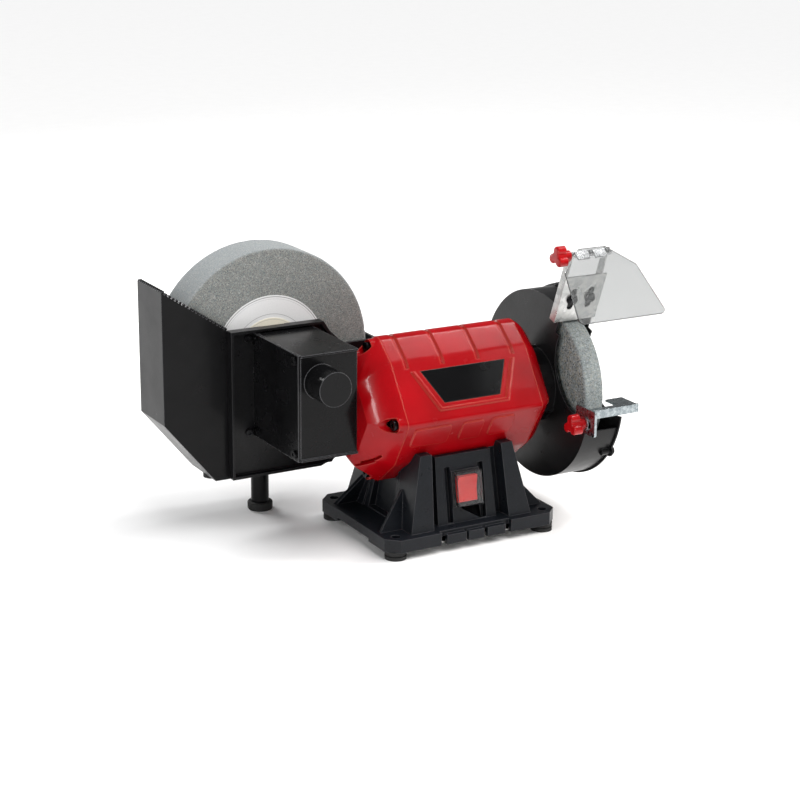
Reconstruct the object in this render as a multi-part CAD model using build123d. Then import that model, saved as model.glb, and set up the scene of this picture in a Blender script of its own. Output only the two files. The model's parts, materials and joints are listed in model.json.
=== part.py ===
from build123d import *
import math
import os

# Wet and dry bench grinder: a 200 mm wet stone on the left, a 150 mm dry wheel on the right.
# Frame: origin on the bench under the middle of the base, +X along the motor shaft
# towards the dry wheel, +Y to the back, +Z up. Millimetres.

# Driving dimensions ---------------------------------------------------------
MOTOR_Z = 123.0            # height of the motor shaft, which lies along X at y = 0
BARREL_X0, BARREL_X1 = -66.0, 75.0
SHEET = 3.0                # wall of the motor castings

BASE_X, BASE_Y = 90.0, 71.0            # half length and half width of the foot flange
FLANGE_Z0, FLANGE_Z1 = 8.0, 20.0
FOOT_X, FOOT_Y, FOOT_R = 78.0, 59.0, 10.0
BENCH_HOLE_R = 4.25
PEDESTAL_TOP = 88.0

WET_X, WET_Z = -132.0, 161.0           # output shaft, which lies along Y
WET_R, WET_BORE = 100.0, 10.0
WET_Y0, WET_Y1 = 82.0, 122.0
BOX_X0, BOX_X1 = -154.0, -95.5         # gearbox
BOX_Y0, BOX_Y1 = -18.0, 72.0
BOX_Z0, BOX_Z1 = 89.5, 187.0
BOX_WALL = 2.5

TANK_Y0, TANK_Y1 = 75.0, 129.0
TANK_X0, TANK_X1 = -241.5, -22.5
TANK_Z0, TANK_CORNER_Z = 50.0, 110.0
TANK_BOTTOM_X0, TANK_BOTTOM_X1 = -192.0, -72.0
TANK_LEFT_TOP, TANK_MID_TOP, TANK_RIGHT_TOP = 233.0, 190.5, 165.0
RAMP_X = -178.0                        # where the ribbed slope meets the level rim
RAMP_STOP = -220.0                     # inner edge of the shelf left of the stone
RIB_COUNT, RIB_R, RIB_RISE = 19, 1.3, 0.9
SIDE_RIB_COUNT = 13
TANK_WALL = 2.5

DRY_R, DRY_BORE = 75.0, 6.35
DRY_X0, DRY_X1 = 111.5, 131.5
GUARD_R, GUARD_SHEET = 89.3, 1.5
GUARD_X0, GUARD_X1 = 105.0, 141.0
GUARD_TOP_DEG, GUARD_LOW_DEG = 116.5, 197.0    # ends of the opening, from +Y
CUT_Y, CUT_Z, CUT_R = -81.0, 33.0, 48.0        # hollow in the guard discs, from the shaft

WORM_MODULE, WORM_R, WORM_WHEEL_TEETH = 1.25, 10.5, 20
SPUR_MODULE, PINION_TEETH, OUTPUT_TEETH = 1.2, 18, 20
FIT = 0.05                 # radial clearance of a running fit
GAP = 0.3                  # clearance between parts that slide or swing past each other

SHAFT_R = 7.5
IDLER_R = 4.0
OUTPUT_R = 7.0
IDLER_Z = MOTOR_Z + WORM_R + WORM_MODULE * WORM_WHEEL_TEETH / 2
SPUR_CENTRES = SPUR_MODULE * (PINION_TEETH + OUTPUT_TEETH) / 2
IDLER_X = WET_X + math.sqrt(SPUR_CENTRES**2 - (WET_Z - IDLER_Z) ** 2)

KNOB_BORE = 9.0
RIDGE, SHOULDER, HIP = (60.5, -1.5), (27.0, 48.0), (35.0, -45.0)
CROWN, KEEL = (0.0, 70.0), (0.0, -73.0)
GROOVE_LOW = 42.0
NAME_X, NAME_LOW, NAME_HIGH = 5.0, 16.5, 49.0
NAME_LOW_HALF, NAME_HIGH_HALF = 29.5, 45.0
NAME_DEPTH = 0.8
TIE_SPOTS = [(0.0, 58.0), (-51.0, -1.5), (0.0, -60.5), (51.0, -1.5)]
STATOR_X0, STATOR_X1 = -26.0, 34.0
STATOR_R, STATOR_BORE = 46.0, 26.6
ROTOR_R = 26.0
WORM_FACE, SPUR_Y0, SPUR_Y1 = 8.0, 22.0, 32.0
BOSS_R, BOSS_Y = 15.8, -47.0
COVER_SCREWS = [(BOX_Y0 + 6, BOX_Z0 + 6), (BOX_Y1 - 6, BOX_Z0 + 6), (BOX_Y0 + 6, BOX_Z1 - 6),
                (BOX_Y1 - 6, BOX_Z1 - 6)]
LABEL_T = 0.4
DRAIN_X, DRAIN_Y, DRAIN_R = -184.0, 102.0, 5.0
TRAY_DEPTH = 9.0
BRACKET_SCREWS = [(-160.0, 182.0), (-159.5, 93.0), (-95.0, 64.0), (-88.5, 175.0)]
POST_X, POST_Y = -128.0, 116.0
PANEL_LOW_Y, PANEL_HIGH_Y, PANEL_HIGH_Z = 54.4, 43.2, 82.0
PANEL_LEAN = math.atan2(PANEL_LOW_Y - PANEL_HIGH_Y, PANEL_HIGH_Z - 18.0)
SWITCH_Z = 51.0
GLAND_Z, GLAND_R = 33.0, 7.0
FOOT_SPOTS = [(-FOOT_X, -FOOT_Y), (FOOT_X, -FOOT_Y), (FOOT_X, FOOT_Y), (-FOOT_X, FOOT_Y)]
ROCKER_TILT, ROCKER_PIN_R = 8.0, 1.2
REST_Y, REST_Z = -88.0, 107.5
COLLAR_SCREWS = [(0.0, MOTOR_Z + 33.0), (-28.6, MOTOR_Z - 16.5), (28.6, MOTOR_Z - 16.5)]
COVER_SCREW_DEG = (215.0, 290.0, 10.0, 85.0)
BRACKET_MID, BRACKET_HALF, BRACKET_T = 121.8, 22.5, 1.5
BRACKET_Y, BRACKET_Z = -38.0, 191.0            # foot of the bracket's front face
BRACKET_LEAN = math.radians(20.7)
BRACKET_OUT = (-math.cos(BRACKET_LEAN), -math.sin(BRACKET_LEAN))
BRACKET_UP = (-math.sin(BRACKET_LEAN), math.cos(BRACKET_LEAN))
SLOT_X, SLOT_U, SLOT_L, SLOT_W = 9.6, 24.0, 22.0, 6.4
HINGE_U, HINGE_BACK = 69.9, -4.5       # hinge bolt, up the bracket and behind its face
PANE_T, PANE_LIFT = 2.0, 4.3
PANE_DEG = 44.7                        # how far the pane hangs below level
LEG_X1 = GUARD_X0 - GAP
LEG_T = 2.5
WASHER_T = 1.2
REST_TOP, REST_SHEET = 122.0, 2.0


# Basic shapes ---------------------------------------------------------------
def block(x0, x1, y0, y1, z0, z1):
    """A box between two corners."""
    centre = Pos((x0 + x1) / 2, (y0 + y1) / 2, (z0 + z1) / 2)
    return centre * Box(x1 - x0, y1 - y0, z1 - z0)


def rod_x(x0, x1, r, y=0.0, z=MOTOR_Z):
    """A cylinder along X."""
    return Pos((x0 + x1) / 2, y, z) * Rot(0, 90, 0) * Cylinder(r, x1 - x0)


def rod_y(y0, y1, r, x=WET_X, z=WET_Z):
    """A cylinder along Y."""
    return Pos(x, (y0 + y1) / 2, z) * Rot(90, 0, 0) * Cylinder(r, y1 - y0)


def rod_z(z0, z1, r, x=0.0, y=0.0):
    """A cylinder along Z."""
    return Pos(x, y, (z0 + z1) / 2) * Cylinder(r, z1 - z0)


def tube_x(x0, x1, r, bore, y=0.0, z=MOTOR_Z):
    return rod_x(x0, x1, r, y, z) - rod_x(x0 - 1, x1 + 1, bore, y, z)


def tube_y(y0, y1, r, bore, x=WET_X, z=WET_Z):
    return rod_y(y0, y1, r, x, z) - rod_y(y0 - 1, y1 + 1, bore, x, z)


def tube_z(z0, z1, r, bore, x=0.0, y=0.0):
    return rod_z(z0, z1, r, x, y) - rod_z(z0 - 1, z1 + 1, bore, x, y)


def frustum(low, high):
    """A block whose bottom and top rectangles (x0, x1, y0, y1, z) differ."""
    faces = []
    for x0, x1, y0, y1, z in (low, high):
        corners = [(x0, y0, z), (x1, y0, z), (x1, y1, z), (x0, y1, z)]
        faces.append(make_face(Polyline(*corners, close=True)))
    return loft(faces, ruled=True)


def across(x):
    """A plane square to the motor shaft: its x is +Y, its y is height above the shaft."""
    return Plane(origin=(x, 0, MOTOR_Z), x_dir=(0, 1, 0), z_dir=(1, 0, 0))


def facing(y, x=0.0, z=0.0):
    """A plane that faces the front: its x is +X, its y is +Z, and extruding goes to -Y."""
    return Plane(origin=(x, y, z), x_dir=(1, 0, 0), z_dir=(0, -1, 0))


def outline(points):
    return make_face(Polyline(*points, close=True))


def mirrored(shape, plane):
    return shape + mirror(shape, about=plane)


def hex_nut_x(x0, x1, flats, bore, y=0.0, z=MOTOR_Z):
    body = extrude(Plane(origin=(x0, y, z), z_dir=(1, 0, 0)) * RegularPolygon(flats / 2, 6, False), x1 - x0)
    return body - rod_x(x0 - 1, x1 + 1, bore, y, z)


def cap_screw(head_r, head_h, shank_r, shank_l, plane, hex_r=0.0):
    """A screw whose head sits on the plane and whose shank goes into it."""
    screw = Pos(0, 0, head_h / 2) * Cylinder(head_r, head_h)
    screw += Pos(0, 0, -shank_l / 2) * Cylinder(shank_r, shank_l)
    if hex_r:
        screw -= extrude(Plane.XY.offset(head_h * 0.45) * RegularPolygon(hex_r, 6), head_h)
    return plane * screw


def wing_knob(plane, bore):
    """A moulded knob with three lobes, whose boss stands on the plane."""
    boss_h, boss_r, lobe_z, lobe_t, lobe_r, reach = 8.0, 5.2, 6.0, 9.0, 4.4, 5.8
    knob = Pos(0, 0, boss_h / 2) * Cylinder(boss_r, boss_h)
    star = Circle(5.6)
    for step in range(3):
        angle = math.radians(90.0 + 120.0 * step)
        star += Pos(reach * math.cos(angle), reach * math.sin(angle)) * Circle(lobe_r)
    head = extrude(Plane.XY.offset(lobe_z) * star, lobe_t)
    knob += fillet(head.faces().sort_by(Axis.Z)[-1].edges(), 1.6)
    knob -= Pos(0, 0, KNOB_BORE / 2 - 1) * Cylinder(bore, KNOB_BORE + 2)
    return plane * knob


# Motor ----------------------------------------------------------------------


def motor_section(inset=0.0, scale=1.0):
    """Rounded six-sided section of the motor housing, about the shaft."""
    half = [CROWN, SHOULDER, RIDGE, HIP, KEEL]
    points = half + [(-y, z) for y, z in half[-2:0:-1]]
    face = outline(points)
    rounding = {CROWN: 12.0, SHOULDER: 20.0, RIDGE: 5.0, HIP: 20.0, KEEL: 12.0}
    for (_, level), radius in rounding.items():
        spots = [v for v in face.vertices() if abs(v.Y - level) < 0.01]
        face = fillet(spots, radius)
    if inset:
        face = offset(face, -inset)
    if scale != 1.0:
        face = face.scale(scale)
    return face


def motor_prism(x0, x1, inset=0.0):
    return extrude(across(x0) * motor_section(inset), x1 - x0)


def ridge_panel(corner, x):
    """A flat panel between the front ridge and another corner; its y runs up the slope."""
    rise = abs(corner[1] - RIDGE[1])
    run = RIDGE[0] - corner[0]
    up = 1.0 if corner[1] > RIDGE[1] else -1.0
    origin = (x, -RIDGE[0], MOTOR_Z + RIDGE[1])
    return Plane(origin=origin, x_dir=(1, 0, 0), z_dir=(0, -rise, up * run))


def panel_plane():
    """The upper front panel of the motor, which carries the name plate."""
    return ridge_panel(SHOULDER, NAME_X)


def name_outline(grow=0.0):
    points = [(-NAME_LOW_HALF - grow, NAME_LOW - grow), (NAME_LOW_HALF + grow, NAME_LOW - grow)]
    points += [(NAME_HIGH_HALF + 1.4 * grow, NAME_HIGH), (-NAME_HIGH_HALF - 1.4 * grow, NAME_HIGH)]
    return outline(points)


def make_name_plate():
    return extrude(panel_plane() * name_outline(-0.4), -NAME_DEPTH)


def make_motor_housing():
    barrel = motor_prism(BARREL_X0, BARREL_X1)
    for step in range(4):
        x = -52.0 + 37.0 * step
        for half, depth in ((2.2, 0.7), (1.2, 1.4)):
            groove = motor_prism(x - half, x + half) - motor_prism(x - 4, x + 4, depth)
            barrel -= groove & block(x - 4, x + 4, -80, 80, MOTOR_Z + GROOVE_LOW, MOTOR_Z + 90)
    lower = ridge_panel(HIP, 0.0)
    for x0, x1 in ((-58.0, -20.0), (-8.0, 14.0), (23.0, 47.0)):
        pad = Pos((x0 + x1) / 2, -17.0) * RectangleRounded(x1 - x0, 22.0, 3.0)
        barrel += extrude(lower * pad, 1.2) + extrude(lower * pad, -1.0)
    for outer, inner, height in ((7.0, 3.6, 0.6), (6.2, 4.4, 1.2)):
        rib = name_outline(outer) - name_outline(inner)
        barrel += extrude(panel_plane() * rib, height) + extrude(panel_plane() * rib, -1.0)
    barrel -= extrude(panel_plane() * name_outline(), -NAME_DEPTH)
    return barrel - motor_prism(BARREL_X0 - 1, BARREL_X1 + 1, SHEET)


def end_cap(x_open, x_end, scale, hub_r, wall):
    """A tapered cap over one end of the barrel, with a hub for the bearing."""
    x_mid = x_open + 0.5 * (x_end - x_open)
    mid = 1.0 - 0.36 * (1.0 - scale)
    outer = loft([across(x_open) * motor_section(), across(x_mid) * motor_section(0, mid),
                  across(x_end) * motor_section(0, scale)])
    inward = 1.0 if x_open > x_end else -1.0
    x_floor = x_end + inward * wall
    mouth = across(x_open + inward * 0.01) * motor_section(wall)
    inner = loft([mouth, across(x_floor) * motor_section(0, scale * 0.92)])
    return outer - inner


def make_left_end_cap():
    cap = end_cap(BARREL_X0, BOX_X1, 0.62, 24.0, SHEET)
    cap += rod_x(BOX_X1 + 1, -67.0, 24.0)
    for y, z in TIE_SPOTS:
        cap += rod_x(-75.0, BARREL_X0, 7.0, y, MOTOR_Z + z) & motor_prism(-80, BARREL_X0)
        cap -= rod_x(BOX_X1 - 1, -74.0, 6.5, y, MOTOR_Z + z)
        cap -= rod_x(BOX_X1 - 1, BARREL_X0 + 1, 2.6, y, MOTOR_Z + z)
    for shift in (0.0, 9.0):
        slot = Plane(origin=(-84, -14 - shift, MOTOR_Z - 44 + shift * 0.4), z_dir=(-0.6, -0.25, -0.76))
        cap -= extrude(slot * SlotOverall(26.0, 3.2, 90.0), 12.0, both=True)
    cap -= rod_x(-79.0, -60.0, 17.5)
    return cap - rod_x(BOX_X1 - 1, -60.0, SHAFT_R + 0.6)


def make_right_end_cap():
    cap = end_cap(BARREL_X1, 90.0, 0.8, 24.0, SHEET)
    cap += rod_x(76.0, 90.0, 24.0)
    for y, z in TIE_SPOTS:
        cap += rod_x(BARREL_X1, 81.0, 6.5, y * 0.98, MOTOR_Z + z * 0.98) & end_cap_fill()
        cap -= rod_x(BARREL_X1 - 1, 86.0, 2.6, y, MOTOR_Z + z)
    cap -= rod_x(70.0, 88.0, 17.5)
    return cap - rod_x(70.0, 92.0, SHAFT_R + 0.6)


def end_cap_fill():
    return loft([across(BARREL_X1) * motor_section(1.0), across(90.0) * motor_section(0, 0.78)])


def make_tie_screws():
    screws = []
    for y, z in TIE_SPOTS:
        plane = Plane(origin=(-74.0, y, MOTOR_Z + z), x_dir=(0, 1, 0), z_dir=(-1, 0, 0))
        screws.append(cap_screw(4.6, 4.0, 2.5, 158.0, plane, 2.2))
    return screws


def make_stator_core():
    core = tube_x(STATOR_X0, STATOR_X1, STATOR_R, STATOR_BORE)
    for step in range(12):
        angle = math.radians(30 * step + 15)
        y, z = 34.0 * math.cos(angle), 34.0 * math.sin(angle)
        core -= rod_x(STATOR_X0 - 1, STATOR_X1 + 1, 4.0, y, MOTOR_Z + z)
    return core


def make_stator_windings():
    coils = [tube_x(STATOR_X0 - 18, STATOR_X0, 43.0, 29.5), tube_x(STATOR_X1, STATOR_X1 + 18, 43.0, 29.5)]
    return [fillet(c.edges().filter_by(GeomType.CIRCLE), 4.0) for c in coils]


def make_rotor_core():
    return tube_x(STATOR_X0, STATOR_X1, ROTOR_R, SHAFT_R + 1.0)


def make_rotor_cage():
    rings = []
    left = (STATOR_X0 - 6, STATOR_X0, STATOR_X0 - 14)
    right = (STATOR_X1, STATOR_X1 + 6, STATOR_X1 + 14)
    for x0, x1, tip in (left, right):
        ring = tube_x(x0, x1, 25.0, 13.0)
        for step in range(8):
            blade = block(min(x0, tip), max(x1, tip), -1.2, 1.2, MOTOR_Z + 15, MOTOR_Z + 24)
            ring += blade.rotate(Axis((0, 0, MOTOR_Z), (1, 0, 0)), 45 * step)
        rings.append(ring)
    return rings


def make_motor_shaft():
    shaft = rod_x(-149.0, -134.0, 4.0) + rod_x(-134.0, -98.0, 5.0) + rod_x(-98.0, 94.0, SHAFT_R)
    shaft += rod_x(STATOR_X0 - 20, STATOR_X1 + 20, SHAFT_R + 1.0)
    shaft += rod_x(94.0, 146.0, DRY_BORE)
    return shaft


def bearing(x0, x1, outer, bore):
    """A sealed ball bearing, drawn as one ring with a groove on each side."""
    ring = tube_x(x0, x1, outer, bore)
    groove = tube_x(x0 - 1, x0 + 0.6, outer - 3.0, bore + 3.0)
    groove += tube_x(x1 - 0.6, x1 + 1, outer - 3.0, bore + 3.0)
    return ring - groove


def make_left_bearing():
    return bearing(-78.5, -67.5, 17.5, SHAFT_R + FIT)


def make_right_bearing():
    return bearing(76.5, 87.5, 17.5, SHAFT_R + FIT)


# Gears ----------------------------------------------------------------------
def gear_outline(teeth, module, first_deg, share=0.38):
    """Straight-sided teeth; share is the tooth's part of the pitch at the pitch circle."""
    pitch_r = module * teeth / 2
    root_r, tip_r = pitch_r - 1.25 * module, pitch_r + module
    step = 360.0 / teeth
    points = []
    for tooth in range(teeth):
        middle = first_deg + step * tooth
        for radius, width in ((root_r, share + 0.2), (tip_r, share - 0.16)):
            points.append((radius, middle - step * width / 2))
        for radius, width in ((tip_r, share - 0.16), (root_r, share + 0.2)):
            points.append((radius, middle + step * width / 2))
    return outline([(r * math.cos(math.radians(a)), r * math.sin(math.radians(a))) for r, a in points])


def gear_y(y0, y1, x, z, teeth, module, first_deg, bore):
    body = extrude(facing(y1, x, z) * gear_outline(teeth, module, first_deg), y1 - y0)
    return body - rod_y(y0 - 1, y1 + 1, bore, x, z)


def make_worm():
    """Right-handed single-start worm; its thread crosses the top over the idler axis."""
    lead = math.pi * WORM_MODULE
    root_r, tip_r = WORM_R - 1.25 * WORM_MODULE, WORM_R + WORM_MODULE
    turns = 5
    start = IDLER_X - turns * lead / 2 + lead / 2
    path = Helix(lead, turns * lead - lead, root_r)
    half_root, half_tip = lead * 0.27, lead * 0.12
    points = [(root_r - 0.4, -half_root), (tip_r, -half_tip), (tip_r, half_tip), (root_r - 0.4, half_root)]
    thread = sweep(Plane.XZ * outline(points), path=path, is_frenet=True)
    core = Pos(0, 0, (turns - 1) * lead / 2) * Cylinder(root_r, (turns + 0.6) * lead)
    worm = thread + core
    placed = Plane(origin=(start, 0, MOTOR_Z), x_dir=(0, 0, 1), z_dir=(1, 0, 0)) * worm
    return placed - rod_x(-140, -90, 5.0)


def make_worm_wheel():
    half_step = 180.0 / WORM_WHEEL_TEETH
    wheel = gear_y(-WORM_FACE / 2, WORM_FACE / 2, IDLER_X, IDLER_Z, WORM_WHEEL_TEETH, WORM_MODULE,
                   -90 + half_step, IDLER_R)
    return wheel + tube_y(WORM_FACE / 2, SPUR_Y0 - 0.5, 8.0, IDLER_R, IDLER_X, IDLER_Z)


def mesh_angle():
    """Direction from the idler shaft to the output shaft, in the front view."""
    return math.degrees(math.atan2(WET_Z - IDLER_Z, WET_X - IDLER_X))


def make_pinion():
    return gear_y(SPUR_Y0, SPUR_Y1, IDLER_X, IDLER_Z, PINION_TEETH, SPUR_MODULE, mesh_angle(), IDLER_R)


def make_output_gear():
    first = mesh_angle() + 180 + 180.0 / OUTPUT_TEETH
    gear = gear_y(SPUR_Y0, SPUR_Y1, WET_X, WET_Z, OUTPUT_TEETH, SPUR_MODULE, first, OUTPUT_R)
    return gear + tube_y(SPUR_Y1, SPUR_Y1 + 8, 9.5, OUTPUT_R)


def make_idler_shaft():
    return rod_y(BOX_Y0 + 3.5, BOX_Y1 - 3.0, IDLER_R, IDLER_X, IDLER_Z)


# Gearbox --------------------------------------------------------------------
def make_gearbox_housing():
    x_open = BOX_X0 + BOX_WALL
    box = block(x_open, BOX_X1, BOX_Y0, BOX_Y1, BOX_Z0, BOX_Z1)
    for z0, z1 in ((BOX_Z0, BOX_Z0 + 2.0), (BOX_Z1 - 2.0, BOX_Z1)):
        box += block(x_open, BOX_X1, BOX_Y0 - 2.0, BOX_Y0, z0, z1)
    inside = block(x_open - 1, BOX_X1 - BOX_WALL, BOX_Y0 + BOX_WALL, BOX_Y1 - BOX_WALL,
                   BOX_Z0 + BOX_WALL, BOX_Z1 - BOX_WALL)
    box -= inside
    for y, z in COVER_SCREWS:
        box += rod_x(x_open, -110.0, 5.0, y, z) & block(x_open, BOX_X1, BOX_Y0, BOX_Y1, BOX_Z0, BOX_Z1)
        box -= rod_x(x_open - 1, -125.0, 2.0, y, z)
    box += rod_y(BOSS_Y, BOX_Y0 + 6, BOSS_R)
    box += tube_y(BOX_Y0, BOX_Y0 + 10, 7.5, IDLER_R + FIT, IDLER_X, IDLER_Z)
    box += tube_y(BOX_Y1 - 10, BOX_Y1, 7.5, IDLER_R + FIT, IDLER_X, IDLER_Z)
    box += rod_y(BOX_Y1 - 12, BOX_Y1, 14.0)
    box -= rod_y(BOSS_Y + 3, BOX_Y0 + 8, 10.5)
    box -= rod_y(BOX_Y1 - 14, BOX_Y1 + 1, 10.5)
    box -= rod_y(BOX_Y0 + 3, BOX_Y1 - 2.5, IDLER_R + FIT, IDLER_X, IDLER_Z)
    return box - rod_x(BOX_X1 - 4, BOX_X1 + 1, SHAFT_R + 0.6)


def make_gearbox_cover():
    cover = block(BOX_X0, BOX_X0 + BOX_WALL, BOX_Y0, BOX_Y1, BOX_Z0, BOX_Z1)
    cover += rod_x(BOX_X0, -139.0, 9.0)
    cover -= rod_x(BOX_X0 + 2, -138.0, 4.0 + FIT)
    for y, z in COVER_SCREWS:
        cover -= rod_x(BOX_X0 - 1, BOX_X0 + 4, 2.2, y, z)
    return cover


def make_gearbox_screws():
    screws = []
    for y, z in COVER_SCREWS:
        plane = Plane(origin=(BOX_X0, y, z), x_dir=(0, 1, 0), z_dir=(-1, 0, 0))
        screws.append(cap_screw(3.8, 2.6, 2.0, 22.0, plane, 1.8))
    return screws


def make_output_shaft():
    return rod_y(BOSS_Y + 4, 136.0, OUTPUT_R)


def make_output_bushes():
    front = tube_y(BOSS_Y + 6, BOX_Y0 + 8, 10.5, OUTPUT_R + FIT)
    return [front, tube_y(BOX_Y1 - 12, BOX_Y1, 10.5, OUTPUT_R + FIT)]


def make_shaft_seal():
    seal = tube_y(BOX_Y1, TANK_Y0, 12.0, OUTPUT_R + FIT)
    return seal - tube_y(TANK_Y0 - 2, TANK_Y0 + 1, 10.0, 8.6)


# Wet stone ------------------------------------------------------------------


def make_wet_wheel():
    stone = tube_y(WET_Y0, WET_Y1, WET_R, WET_BORE)
    return chamfer(stone.edges().filter_by(GeomType.CIRCLE).sort_by(Edge.length)[-2:], 1.0)


def make_wet_wheel_labels():
    front = tube_y(WET_Y0 - LABEL_T, WET_Y0, 56.0, WET_BORE)
    return [front, tube_y(WET_Y1, WET_Y1 + LABEL_T, 56.0, WET_BORE)]


def make_wet_blotters():
    front = tube_y(WET_Y0 - 2 * LABEL_T, WET_Y0 - LABEL_T, 35.0, WET_BORE)
    return [front, tube_y(WET_Y1 + LABEL_T, WET_Y1 + 2 * LABEL_T, 35.0, WET_BORE)]


def make_wet_flanges():
    y_front, y_back = WET_Y0 - 2 * LABEL_T, WET_Y1 + 2 * LABEL_T
    front = tube_y(y_front - 2.5, y_front, 24.0, OUTPUT_R) + tube_y(y_front, 90.0, WET_BORE, OUTPUT_R)
    return [front, tube_y(y_back, y_back + 2.5, 24.0, OUTPUT_R) + tube_y(114.0, y_back, WET_BORE, OUTPUT_R)]


def make_wet_nut():
    y0, flats = WET_Y1 + 2 * LABEL_T + 2.5, 21.0
    nut = extrude(facing(y0 + 8, WET_X, WET_Z) * RegularPolygon(flats / 2, 6, False), 8.0)
    return nut - rod_y(y0 - 1, y0 + 10, OUTPUT_R)


# Tank -----------------------------------------------------------------------
def tank_outline(inset=0.0, top=0.0):
    """Front view of the tank; top raises the rim so that a cutter passes it."""
    t = inset
    lower = [(TANK_X0 + t, TANK_CORNER_Z + t * 0.4), (TANK_BOTTOM_X0 + t * 0.4, TANK_Z0 + t),
             (TANK_BOTTOM_X1 - t * 0.4, TANK_Z0 + t), (TANK_X1 - t, TANK_CORNER_Z + t * 0.4)]
    upper = [(TANK_X1 - t, TANK_RIGHT_TOP + top), (-60.0, TANK_RIGHT_TOP + top), (-86.0, TANK_MID_TOP + top),
             (RAMP_X, TANK_MID_TOP + top), (TANK_X0 + t, TANK_LEFT_TOP + top)]
    return outline(lower + upper)


def ramp_point(along):
    """A point on the slope of the rim, from its foot (0) to its head (1)."""
    return RAMP_X + along * (TANK_X0 - RAMP_X), TANK_MID_TOP + along * (TANK_LEFT_TOP - TANK_MID_TOP)


def make_water_tank():
    tank = extrude(facing(TANK_Y1) * tank_outline(), TANK_Y1 - TANK_Y0)
    depth = TANK_Y1 - TANK_Y0 - 2 * TANK_WALL
    inner = extrude(facing(TANK_Y1 - TANK_WALL) * tank_outline(TANK_WALL, 60.0), depth)
    tank -= inner
    tank += ramp_shelf()
    for step in range(RIB_COUNT):
        x, z = ramp_point((step + 0.5) / RIB_COUNT)
        for y0, y1 in ((TANK_Y0, TANK_Y0 + 4.0), (TANK_Y1 - 4.0, TANK_Y1)):
            tank += rod_y(y0, y1, RIB_R, x, z + RIB_RISE)
    for step in range(SIDE_RIB_COUNT):
        y = TANK_Y0 + (step + 0.5) * (TANK_Y1 - TANK_Y0) / SIDE_RIB_COUNT
        tank += rod_x(TANK_X0, TANK_X0 + 3.5, RIB_R, y, TANK_LEFT_TOP + 0.2)
    tank -= rod_y(TANK_Y0 - 2, TANK_Y0 + 4, 12.0)
    tank -= block(WET_X - 12, WET_X + 12, TANK_Y0 - 2, TANK_Y0 + 4, WET_Z, TANK_MID_TOP + 10)
    tank -= block(WET_X - 34, WET_X + 34, TANK_Y1 - 4, TANK_Y1 + 2, 136.0, TANK_MID_TOP + 10)
    for x, z in BRACKET_SCREWS:
        tank -= rod_y(TANK_Y0 - 1, TANK_Y0 + TANK_WALL + 1, 2.2, x, z)
    return tank - rod_z(TANK_Z0 - 1, TANK_Z0 + 4, DRAIN_R + 0.1, DRAIN_X, DRAIN_Y)


def ramp_shelf():
    """The ribbed shelf that closes the tank left of the stone, and its two side rims."""
    x, z = ramp_point(0.0)
    x_end, z_end = ramp_point(1.0)
    z_stop = z + (RAMP_STOP - x) * (z_end - z) / (x_end - x)
    shelf = outline([(x_end, z_end), (RAMP_STOP, z_stop), (RAMP_STOP, z_stop - 2.5), (x_end, z_end - 2.5)])
    rim = outline([(x_end, z_end), (x, z), (x, z - 2.5), (x_end, z_end - 2.5)])
    solid = extrude(facing(TANK_Y1) * shelf, TANK_Y1 - TANK_Y0)
    solid += extrude(facing(TANK_Y0 + 4) * rim, 4.0)
    return solid + extrude(facing(TANK_Y1) * rim, 4.0)


def make_drain_plug():
    plug = rod_z(TANK_Z0 - 0.3, TANK_Z0 + 4.5, DRAIN_R, DRAIN_X, DRAIN_Y)
    return plug + rod_z(TANK_Z0 - 4.3, TANK_Z0 - 0.3, 8.0, DRAIN_X, DRAIN_Y)


def bracket_outline(inset=0.0):
    t = inset
    low = [(-178.5 + t, 51.0 + t), (-88.0, 51.0 + t), (-73.0 - t, 57.0), (-78.0 - t, 80.0)]
    waist = [(-84.0 - t, 90.0), (-84.0 - t, 165.0), (-73.0 - t, 172.0)]
    return outline(low + waist + [(-85.0 - t, 191.0 - t), (-178.5 + t, 191.0 - t)])


def make_tank_bracket():
    """Tray between the gearbox and the tank, its rim standing forwards."""
    tray = extrude(facing(TANK_Y0) * bracket_outline(), TRAY_DEPTH)
    tray -= extrude(facing(BOX_Y1) * bracket_outline(2.5), TRAY_DEPTH)
    tray -= rod_y(BOX_Y1 - 1, TANK_Y0 + 1, 12.0)
    for x, z in BRACKET_SCREWS:
        tray -= rod_y(BOX_Y1 - 1, TANK_Y0 + 1, 2.2, x, z)
    return tray


def make_tank_screws():
    screws = []
    for x, z in BRACKET_SCREWS:
        plane = Plane(origin=(x, BOX_Y1, z), x_dir=(1, 0, 0), z_dir=(0, -1, 0))
        screws.append(cap_screw(3.4, 2.4, 2.1, 8.0, plane, 1.8))
    return screws


def make_support_post():
    return rod_z(6.0, TANK_Z0, 8.5, POST_X, POST_Y)


def make_support_foot():
    pad = rod_z(0.0, 8.0, 12.0, POST_X, POST_Y)
    pad = fillet(pad.edges().filter_by(GeomType.CIRCLE), 1.5)
    return pad - rod_z(6.0, 9.0, 8.5, POST_X, POST_Y)


# Base -----------------------------------------------------------------------


def flange_outline(inset=0.0, corner=11.0):
    x, y, c = BASE_X - inset, BASE_Y - inset, corner - inset * 0.4
    front = [(-x, -y + c), (-x + c, -y), (x - c, -y), (x, -y + c)]
    return outline(front + [(px, -py) for px, py in reversed(front)])


def four_corners(shape):
    return mirrored(mirrored(shape, Plane.YZ), Plane.XZ)


def corner_gusset():
    """A leaning triangular web from the pedestal down to the flange."""
    plane = Plane(origin=(0, -45, FLANGE_Z1), x_dir=(1, 0, 0), z_dir=(0, -33.5, 12.0))
    web = outline([(-57.0, 35.5), (-87.0, -1.0), (-56.0, -1.0)])
    return extrude(plane * web, -4.0)


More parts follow.
